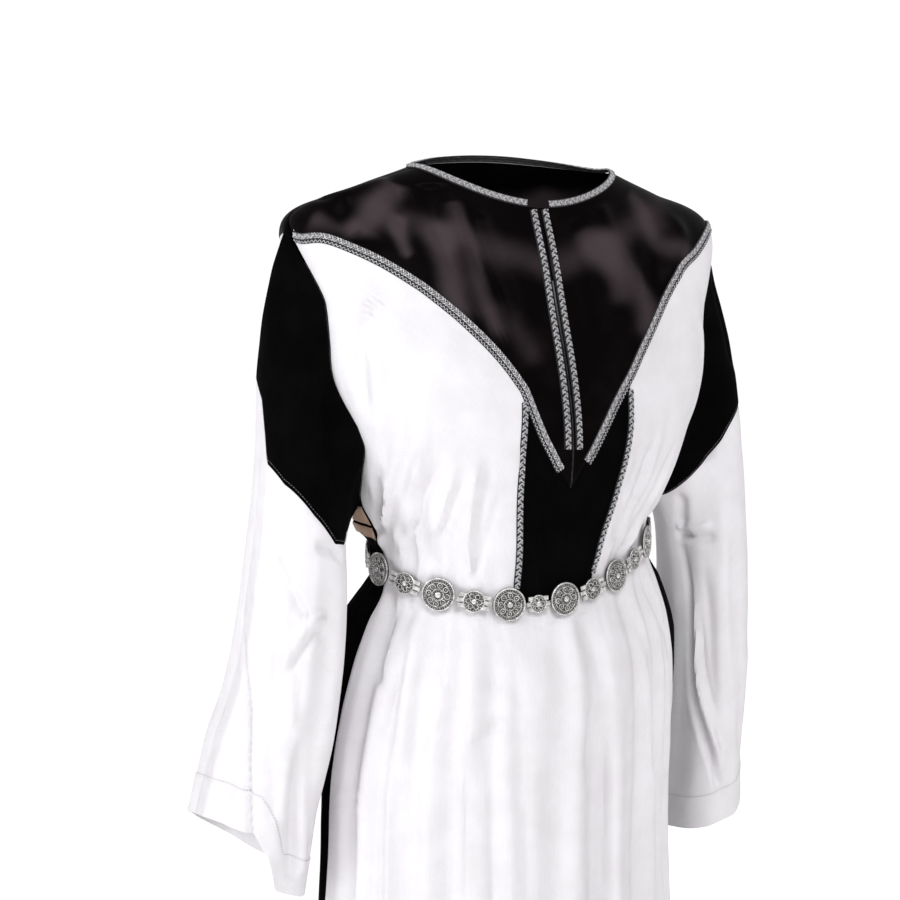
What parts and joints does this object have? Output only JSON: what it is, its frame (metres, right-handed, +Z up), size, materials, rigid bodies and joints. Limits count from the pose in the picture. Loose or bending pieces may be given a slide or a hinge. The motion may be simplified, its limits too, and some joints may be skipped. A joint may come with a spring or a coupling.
{
  "type": "thobe",
  "caption": "Long white cotton thobe with a black satin V yoke, black upper sleeves and side gores, silver braids and a belt of linked silver medallions.",
  "frame": {"origin": "centre of the neck, level with the points where neck and shoulder meet", "axes": "+Z up, the wearer faces -Y, the wearer's left side is at +X"},
  "size_m": [0.6239, 0.3352, 1.3609],
  "materials": {
    "white_cotton": "plain woven white cotton",
    "black_cotton": "plain woven black cotton",
    "black_satin": "black satin with a soft sheen",
    "silver_braid": "flat braid of silver thread",
    "tan_cloth": "tan cotton strip",
    "belt_silver": "aged silver"
  },
  "bodies": {
    "root": {"front_yoke_right": "black_satin", "front_yoke_left": "black_satin", "back_yoke": "black_satin", "front_inset": "black_cotton", "front_panel": "white_cotton", "back_panel": "white_cotton", "side_gore_right": "black_cotton", "side_gore_left": "black_cotton", "upper_sleeve_right": "black_cotton", "lower_sleeve_right": "white_cotton", "upper_sleeve_left": "black_cotton", "lower_sleeve_left": "white_cotton", "neck_braid": "silver_braid", "slit_braid_right": "silver_braid", "yoke_braid_right": "silver_braid", "inset_braid_right": "silver_braid", "slit_braid_left": "silver_braid", "yoke_braid_left": "silver_braid", "inset_braid_left": "silver_braid", "underarm_patch_right_upper": "tan_cloth", "underarm_patch_right_lower": "tan_cloth", "underarm_patch_left_upper": "tan_cloth", "belt_medallion_1": "belt_silver", "belt_clasp": "belt_silver", "belt_medallion_2": "belt_silver", "belt_link_1": "belt_silver", "belt_medallion_3": "belt_silver", "belt_link_2": "belt_silver", "belt_medallion_4": "belt_silver", "belt_link_3": "belt_silver", "belt_medallion_5": "belt_silver", "belt_link_4": "belt_silver", "belt_medallion_6": "belt_silver", "belt_link_5": "belt_silver", "belt_medallion_7": "belt_silver", "belt_link_6": "belt_silver", "belt_medallion_8": "belt_silver", "belt_link_7": "belt_silver", "belt_medallion_9": "belt_silver", "belt_link_8": "belt_silver", "belt_medallion_10": "belt_silver", "belt_link_9": "belt_silver", "belt_medallion_11": "belt_silver", "belt_link_10": "belt_silver", "belt_medallion_12": "belt_silver", "belt_link_11": "belt_silver"}
  },
  "joints": []
}
